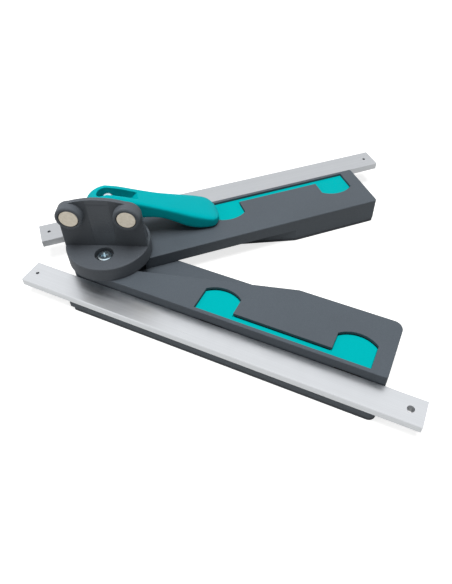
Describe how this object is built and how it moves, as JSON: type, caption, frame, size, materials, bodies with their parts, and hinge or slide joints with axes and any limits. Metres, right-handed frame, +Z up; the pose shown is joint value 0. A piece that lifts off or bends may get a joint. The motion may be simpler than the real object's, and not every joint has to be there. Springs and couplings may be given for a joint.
{
  "type": "sliding bevel",
  "caption": "Geared angle bevel: straight aluminium rails on two folding grey plastic arms, a cam lever clamp, and an upright magnetic head along the bisector.",
  "frame": {"origin": "on the ground, midway between the two arm pivots, on the underside of the front arm's sole", "axes": "+X along the bisector of the arms towards their far ends, +Y towards the rear arm, +Z up"},
  "size_m": [0.2894, 0.2858, 0.0775],
  "materials": {
    "grey_plastic": "fine-textured dark grey moulding",
    "sole_plastic": "fine-textured darker grey moulding",
    "teal_plastic": "satin teal moulding",
    "rail_aluminium": "satin anodised, drawn along its length",
    "pad_rubber": "matt black",
    "gear_plastic": "black acetal",
    "bush_bronze": "plain",
    "magnet_nickel": "nickel plated, faintly clouded",
    "spring_steel": "bright wire",
    "zinc_steel": "bright zinc plated"
  },
  "bodies": {
    "head": {"head_bracket": "grey_plastic", "left_magnet": "magnet_nickel", "right_magnet": "magnet_nickel", "front_pivot_screw": "zinc_steel", "front_pivot_nut": "zinc_steel", "front_pivot_washer": "zinc_steel", "cam_plate": "zinc_steel", "release_spring": "spring_steel"},
    "front_arm": {"front_arm_casing": "grey_plastic", "front_arm_sole": "sole_plastic", "front_sole_screws": "zinc_steel", "front_sync_gear": "gear_plastic", "front_gear_screws": "zinc_steel", "front_pivot_bush": "bush_bronze", "front_lock_springs": "spring_steel"},
    "front_rail": {"front_rail": "rail_aluminium"},
    "front_lock": {"front_rail_lock": "teal_plastic", "front_lock_pads": "pad_rubber"},
    "rear_arm": {"rear_arm_casing": "grey_plastic", "rear_arm_sole": "sole_plastic", "rear_sole_screws": "zinc_steel", "rear_sync_gear": "gear_plastic", "rear_gear_screws": "zinc_steel", "rear_pivot_bush": "bush_bronze", "rear_lock_springs": "spring_steel"},
    "rear_rail": {"rear_rail": "rail_aluminium"},
    "rear_lock": {"rear_rail_lock": "teal_plastic", "rear_lock_pads": "pad_rubber"},
    "clamp": {"clamp_bolt": "zinc_steel", "clamp_bolt_washer": "zinc_steel", "lever_pin": "zinc_steel", "dome_nut": "zinc_steel"},
    "lever": {"cam_lever": "teal_plastic"}
  },
  "joints": [
    {"name": "rear_arm_turn", "type": "hinge", "parent": "head", "child": "rear_arm", "pos_m": [0, 0.0175, 0], "axis": [0, 0, 1], "range_deg": [-15, 67.5]},
    {"name": "front_arm_turn", "type": "hinge", "parent": "head", "child": "front_arm", "pos_m": [0, -0.0175, 0], "axis": [0, 0, 1], "range_deg": [-67.5, 15]},
    {"name": "front_rail_slide", "type": "slide", "parent": "front_arm", "child": "front_rail", "axis": [0.9239, -0.3827, 0], "range_m": [-0.025, 0.06]},
    {"name": "rear_rail_slide", "type": "slide", "parent": "rear_arm", "child": "rear_rail", "axis": [0.9239, 0.3827, 0], "range_m": [-0.025, 0.06]},
    {"name": "front_lock_push", "type": "slide", "parent": "front_arm", "child": "front_lock", "axis": [0.3827, 0.9239, 0], "range_m": [0, 0.0012], "stiffness_N_per_m": 1500, "springref_m": -0.002, "deforming": ["front_lock_springs"]},
    {"name": "rear_lock_push", "type": "slide", "parent": "rear_arm", "child": "rear_lock", "axis": [0.3827, -0.9239, 0], "range_m": [0, 0.0012], "stiffness_N_per_m": 1500, "springref_m": -0.002, "deforming": ["rear_lock_springs"]},
    {"name": "lever_swivel", "type": "hinge", "parent": "head", "child": "clamp", "pos_m": [0, 0.0175, 0], "axis": [0, 0, 1], "range_deg": [-25, 150]},
    {"name": "lever_open", "type": "hinge", "parent": "clamp", "child": "lever", "pos_m": [0, 0.0175, 0.0533], "axis": [0.3256, -0.9455, 0], "range_deg": [0, 90]}
  ],
  "couplings": [
    {"joint": "front_arm_turn", "follows": "rear_arm_turn", "ratio": -1}
  ]
}
